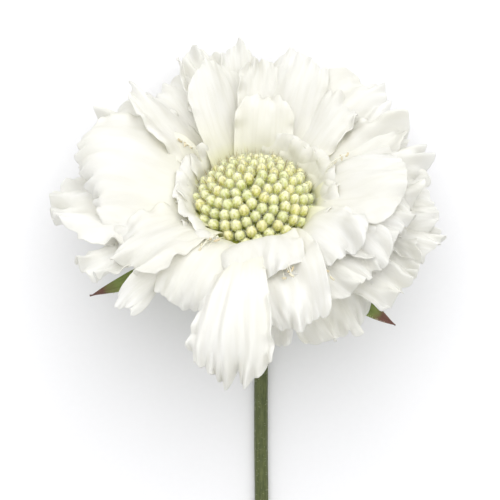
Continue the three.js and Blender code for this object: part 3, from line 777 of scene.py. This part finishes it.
def bristlePatch():
    # the dark bristles of the calyx that stand between the buds
    foot, outward, aside, above, size, _ = budFrames()
    count = dome["bristles"]
    chance = draws(dome["bristleSeed"], 3, dome["count"], count)
    turn = 2 * np.pi * (np.arange(count)[None] + 0.7 * chance[0]) / count
    lean = turned(aside[:, None], above[:, None], turn)
    gap = dome["budRadius"] * size[:, None, None] * 1.05
    roots = foot[:, None] + lean * gap * 0.75 - outward[:, None] * 0.9
    far = smooth(foot[:, 1:2] - 0.5 * foot[:, :1], -7, 9)  # tallest at the back and the left
    rise = dome["bristleRise"] + dome["bristleVaries"] * chance[1]
    rise = (rise + 1.7 * far * (0.3 + 0.7 * chance[1]))[..., None]
    tips = foot[:, None] + lean * gap * (0.98 + 0.1 * chance[2])[..., None] + outward[:, None] * rise
    return headNeedles(roots, tips, dome["bristleRadius"], 0.5)


addPiece("buds", [budPatch(), receptaclePatch()], budDown, "bud_dome", merge=weld)
addPiece("budHairs", [budHairPatch()], paleHair, None)
addPiece("bristles", [bristlePatch()], darkBristle, None)
print("dome made")


# Stamens. Each open floret's stand out of its throat on thin filaments that lie over the
# lobe before them: the direction, how far out and how high their anthers are, and how many.
stamens = {
    "f": {"az": -57, "reach": 25, "height": 5.5, "count": 4},
    "g": {"az": -75, "reach": 22.5, "height": 6.5, "count": 7},
    "i": {"az": -121, "reach": 17.5, "height": 5, "count": 6},
    "l": {"az": 141, "reach": 17, "height": 6, "count": 4},
    "d": {"az": 14, "reach": 17, "height": 6, "count": 3},
}
stamenForm = {
    "filament": 0.13, "antherLength": 1.25, "antherRadius": 0.22, "scatter": 2.2, "bend": 1.9,
    "rows": 12, "sides": 6, "antherRows": 8, "antherSides": 8, "seed": 1200,
}


def stamenPatches():
    # a filament rises as a sine and bends outwards; its anther is a small bean across its tip
    white, tan = [], []
    root, bend = floretTube["throatRadius"], stamenForm["bend"]
    for number, group in enumerate(stamens.values()):
        outward, sideways = compass(np.radians(group["az"]))
        for k in range(group["count"]):
            chance = draws(stamenForm["seed"] + 17 * number + k, 8)
            wide, far, high = stamenForm["scatter"] * (chance[:3] - 0.5) * 2
            t = np.linspace(0, 1, stamenForm["rows"])[:, None]
            run = group["reach"] - root + far
            path = outward * (root + run * t) + sideways * wide * t \
                + [0, 0, 1] * (0.3 + (group["height"] + 0.3 * high) * np.sin(bend * t) / np.sin(bend))
            white.append(tube(headToWorld(path), stamenForm["filament"] * (1 - 0.3 * t[:, 0]),
                              stamenForm["sides"], {"along": 0.2, "across": 0.5, "lot": 0.5}))
            across = unit(sideways * (chance[3] - 0.5) + outward * (chance[4] - 0.5)
                          + [0, 0, 0.5 * chance[5]])
            u = np.linspace(-1, 1, stamenForm["antherRows"])[:, None]
            bean = path[-1] + across * u * stamenForm["antherLength"] / 2 - outward * 0.2 * u * u
            radii = stamenForm["antherRadius"] * np.sqrt(np.clip(1 - u[:, 0] ** 4, 0, 1))
            tan.append(tube(headToWorld(bean), radii, stamenForm["antherSides"], {"height": chance[6]}))
    return white, tan


filaments, anthers = stamenPatches()
addPiece("filaments", filaments, petalWhite, None, merge=weld)
addPiece("anthers", anthers, anther, None, merge=weld)
print("stamens made")


# The involucre: the cup behind the head and nine pointed bracts.
cup = {
    "depth": 7.4, "rows": 26, "sides": 56, "ribs": 18,
    "outlineRadius": [0.0, 1.35, 2.6, 5.6, 8.6, 10.2, 9.8, 0.0],
    "outlineHeight": [0.0, 0.0, 0.9, 2.2, 3.5, 4.1, 4.6, 4.6],
    "bractAzimuths": [-41, 3, 43, 83, 123, 163, 208, 245, 281],
    "bractLengths": [28.5, 23, 25, 23, 24, 24, 29, 18, 17], "bractWidth": 5,
    "bractWall": 0.55, "rootRadius": 6.2, "rootHeight": -4.1, "dip": -34, "rise": 8,
    "lessDip": 28, "lessRise": 18, "bractRows": 44, "bractColumns": 28,
    "hairs": 140, "hairRadius": 0.035, "seed": 400, "hairSeed": 3000,  # hairs on each bract
}


def cupPatch():
    # a turned bowl, with straight runs between the heights and radii of its outline
    corner = np.arange(len(cup["outlineRadius"]))
    steps = np.linspace(0, corner[-1], cup["rows"])
    radius = np.interp(steps, corner, cup["outlineRadius"])[:, None]
    height = np.interp(steps, corner, np.array(cup["outlineHeight"]) - cup["depth"])[:, None]
    height[:5] -= 0.3  # meets the stem
    turn = circle(cup["sides"])
    ribbed = radius * (1 + 0.02 * np.cos(cup["ribs"] * turn) * smooth(radius, 1.5, 4))
    values = {"along": 0.3 * radius / 10, "across": turn / (2 * np.pi) * 4}
    return rings(headToWorld(polar(ribbed, turn, height)), values, flip=True)


def bractFrame(azimuth, length, t):
    # middle line and half width of a bract: it dips away from the cup and rises to its tip
    heading = np.radians(azimuth)
    back = 0.5 + 0.5 * np.sin(heading)
    start = np.radians(cup["dip"] + cup["lessDip"] * back)
    end = np.radians(cup["rise"] + cup["lessRise"] * back)
    bend = start + (end - start) * t / 2
    reach = cup["rootRadius"] + length * t * np.cos(bend)
    height = cup["rootHeight"] + length * t * np.sin(bend)
    half = cup["bractWidth"] / 2 * (0.5 + 0.5 * smooth(t, 0, 0.4)) * (1 - t ** 4)
    return heading, reach, height, half


def bractPatch(azimuth, length, seed):
    # a closed lens section carried along the middle line, keeled, with slightly waved margins
    phase = draws(seed, 4) * 2 * np.pi
    t = np.linspace(0, 1, cup["bractRows"])[:, None]
    turn = circle(cup["bractColumns"])
    heading, reach, height, half = bractFrame(azimuth, length, t)
    half = half * (1 + 0.05 * np.sin(19 * t + phase[0])) + 0.3 * (1 - t)
    s = np.cos(turn) * np.ones_like(t)
    keel = 0.25 * half * s * s - 0.16 * np.exp(-(s / 0.16) ** 2)
    waves = 0.3 * np.sin(11 * t + phase[1] + 2 * s) * s * s * smooth(t, 0.1, 0.5)
    wall = cup["bractWall"] / 2 * np.sin(turn) * (1 - 0.5 * t) * np.ones_like(s)
    out, side = compass(heading)
    points = out * reach[..., None] + side * (half * s)[..., None]
    points = points + np.array([0, 0, 1]) * (height + keel + waves + wall)[..., None]
    return rings(headToWorld(points), {"along": 0.3 + 0.7 * t, "across": s / 2 + 0.5})


def bractHairPatch():
    # short hairs along both margins of the bracts
    roots, tips = [], []
    for k, (azimuth, length) in enumerate(zip(cup["bractAzimuths"], cup["bractLengths"])):
        chance = draws(cup["hairSeed"] + k, 3, cup["hairs"])
        t = 0.04 + 0.9 * chance[0]
        heading, reach, height, half = bractFrame(azimuth, length, t)
        s = np.sign(chance[1] - 0.5) * (1 - 0.3 * chance[2] ** 2)
        out, side = compass(heading)
        root = out * reach[:, None] + side * (half * s)[:, None]
        root = root + np.array([0, 0, 1]) * (height + 0.25 * half * s * s)[:, None]
        tip = root + side * (0.55 * np.sign(s))[:, None] + out * 0.4 \
            + np.array([0, 0, 1]) * (0.8 * chance[2] - 0.4)[:, None]
        roots.append(root)
        tips.append(root + (tip - root) * (0.6 + 0.5 * chance[1])[:, None])
    return headNeedles(np.concatenate(roots), np.concatenate(tips), cup["hairRadius"], 0.6)


bracts = [bractPatch(azimuth, length, cup["seed"] + k)
          for k, (azimuth, length) in enumerate(zip(cup["bractAzimuths"], cup["bractLengths"]))]
addPiece("involucre", [cupPatch()] + bracts, leafGreen, "involucre", merge=weld)
addPiece("bractHairs", [bractHairPatch()], paleHair, None)
print("involucre made")


# The stem: it leaves the cup along the axis, bends down and lies along the surface.
stem = {
    "radius": 1.35, "reach": 104, "side": 1.3, "height": 1.1, "rows": 260, "sides": 40,
    "ribs": 8, "ribDepth": 0.035, "hairs": 900, "hairPlaces": 500, "hairRadius": 0.03,
    "hairLength": 0.35, "hairSeed": 77, "bendSteps": 40,
    "cutShares": [0.94, 0.6, 0.25, 0.0], "cutSunk": [0.0, -0.05, -0.25, -0.3],
}


def stemPath(count):
    # A centripetal Catmull-Rom curve with even steps: cubic spans, whose slopes come from the
    # bends beside them, each divided by the square root of its distance.
    top = headToWorld([0, 0, -cup["depth"] - 0.1])
    below = headToWorld([0, 0, -cup["depth"] - 5.3])
    away = [(0.7, 13.6, 6.7), (1.1, 20.8, 3.0), (stem["side"], 31, stem["height"] + 0.3),
            (stem["side"], 47, stem["height"]), (stem["side"] + 0.2, 76, stem["height"]),
            (stem["side"] - 0.1, stem["reach"], stem["height"])]
    bends = [top, below] + [np.array([headPlace[0] + x, headPlace[1] - y, z]) for x, y, z in away]
    bends = np.array([2 * bends[0] - bends[1]] + bends + [2 * bends[-1] - bends[-2]])
    line = []
    for k in range(1, len(bends) - 2):
        p0, p1, p2, p3 = bends[k - 1:k + 3]
        d0, d1, d2 = (np.linalg.norm(b - a) ** 0.5 for a, b in ((p0, p1), (p1, p2), (p2, p3)))
        m1 = d1 * ((p1 - p0) / d0 - (p2 - p0) / (d0 + d1) + (p2 - p1) / d1)
        m2 = d1 * ((p2 - p1) / d1 - (p3 - p1) / (d1 + d2) + (p3 - p2) / d2)
        u = np.linspace(0, 1, stem["bendSteps"], endpoint=False)[:, None]
        line.append((2 * u ** 3 - 3 * u ** 2 + 1) * p1 + (u ** 3 - 2 * u ** 2 + u) * m1
                    + (3 * u ** 2 - 2 * u ** 3) * p2 + (u ** 3 - u ** 2) * m2)
    line = np.concatenate(line + [bends[-2:-1]])
    run = np.concatenate([[0], np.cumsum(np.linalg.norm(np.diff(line, axis=0), axis=1))])
    even = np.linspace(0, run[-1], count)
    return np.stack([np.interp(even, run, line[:, k]) for k in range(3)], -1), even


def stemFrames(count):
    path, run = stemPath(count)
    ahead = unit(np.gradient(path, axis=0))
    aside = unit(np.array([1.0, 0, 0]) - ahead * ahead[:, :1])
    return path, run, ahead, aside, np.cross(ahead, aside)


def stemPatch():
    # A round section with low ribs, carried along the path and flat where it lies, with a
    # slightly sunken cut face.
    path, run, ahead, aside, above = stemFrames(stem["rows"])
    turn = circle(stem["sides"])
    t = (run / run[-1])[:, None]
    radius = stem["radius"] * (1 + stem["ribDepth"] * np.cos(stem["ribs"] * turn + 1.2 * np.sin(7 * t)))
    radius = radius * (1 + 0.012 * np.sin(90 * t) * np.sin(turn + 31 * t)) + 0 * t
    ring = turned(aside[:, None], above[:, None], turn)
    points = path[:, None] + radius[..., None] * ring
    shares = np.array(stem["cutShares"])[:, None, None]
    sunk = np.array(stem["cutSunk"])[:, None, None]
    cutFace = path[-1] + shares * radius[-1][:, None] * ring[-1] + sunk * ahead[-1]
    topFace = path[0] + shares[::-1] * radius[0][:, None] * ring[0]
    points = np.concatenate([topFace, points, cutFace])
    points[..., 2] = np.maximum(points[..., 2], 0.0)
    along = np.concatenate([np.zeros(4), t[:, 0], np.ones(4)])
    face = np.concatenate([np.zeros(4 + stem["rows"]), [0.4, 1, 1, 1]])
    values = {"turn": turn / (2 * np.pi), "along": along[:, None], "face": face[:, None]}
    return rings(points, values, flip=True)


def stemHairPatch():
    # fine hairs that stand off the stem, a little towards the head
    path, _, ahead, aside, above = stemFrames(stem["hairPlaces"])
    chance = draws(stem["hairSeed"], 4, stem["hairs"])
    at = (chance[0] * (stem["hairPlaces"] - 1)).astype(int)
    turn = 2 * np.pi * chance[1]
    ring = turned(aside[at], above[at], turn)
    roots = path[at] + stem["radius"] * 0.98 * ring
    reach = (stem["hairLength"] + stem["hairLength"] * chance[2])[:, None]
    tips = roots + reach * unit(ring - 0.5 * chance[3][:, None] * ahead[at])
    clear = (roots[:, 2] > 0.4) & (tips[:, 2] > 0.2)
    return needles(roots[clear], tips[clear], stem["hairRadius"], 0.5)


addPiece("stem", [stemPatch()], stemGreen, "stem", merge=weld)
addPiece("stemHairs", [stemHairPatch()], paleHair, None)
print("stem made")


# The pale surface, the soft light and the camera.
studio = {
    "surface": (0.85, 0.85, 0.862), "sky": (0.99, 0.99, 1.0), "skyStrength": 0.68,
    "keyPlace": (0.10, 0.66, 1.15), "keySize": 2.0, "keyPower": 21.5,
    "fillPlace": (-0.5, -0.15, 0.4), "fillSize": 0.8, "fillPower": 0.3,
    "aim": (0.0, 0.03, 0.02), "edge": 1.6,
}
view = {"distance": 280, "across": 95, "sensor": 36, "aside": -0.95, "below": -8.93}


def makeStudio():
    mesh = bpy.data.meshes.new("surface")
    edge = studio["edge"]
    mesh.from_pydata([(-edge, -edge, 0), (edge, -edge, 0), (edge, edge, 0), (-edge, edge, 0)], [],
                     [(0, 1, 2, 3)])
    material, tree, shader = newMaterial("paper", 0.9, 0.1)
    tooth = noise(tree, place(tree), 900.0, 3.0)
    base = np.array(studio["surface"])
    colour = shades(tree, tooth, [(0.35, tuple(base * 0.992)), (0.65, tuple(base))])
    tree.links.new(colour, shader.inputs["Base Color"])
    mesh.materials.append(material)
    surface = bpy.data.objects.new("surface", mesh)
    bpy.context.scene.collection.objects.link(surface)
    world = bpy.data.worlds.new("sky")
    world.use_nodes = True
    background = world.node_tree.nodes["Background"]
    background.inputs["Color"].default_value = (*studio["sky"], 1)
    background.inputs["Strength"].default_value = studio["skyStrength"]
    bpy.context.scene.world = world
    for name in ("key", "fill"):
        light = bpy.data.lights.new(name, "AREA")
        light.size = studio[name + "Size"]
        light.energy = studio[name + "Power"]
        lamp = bpy.data.objects.new(name, light)
        lamp.location = studio[name + "Place"]
        aim = Vector(studio["aim"]) - lamp.location
        lamp.rotation_mode = "QUATERNION"
        lamp.rotation_quaternion = aim.to_track_quat("-Z", "Y")
        bpy.context.scene.collection.objects.link(lamp)
    bpy.context.scene.view_settings.view_transform = "Standard"


def makeCamera():
    # straight above, so that the leaning head shows as it does from the front and above
    camera = bpy.data.cameras.new("camera")
    camera.sensor_width = view["sensor"]
    camera.lens = view["sensor"] * view["distance"] / view["across"]  # across fills the width
    camera.clip_start = 0.01
    eye = bpy.data.objects.new("camera", camera)
    eye.location = (headPlace + [view["aside"], view["below"], view["distance"]]) * mm
    bpy.context.scene.collection.objects.link(eye)
    bpy.context.scene.camera = eye


makeStudio()
makeCamera()
print("studio made")
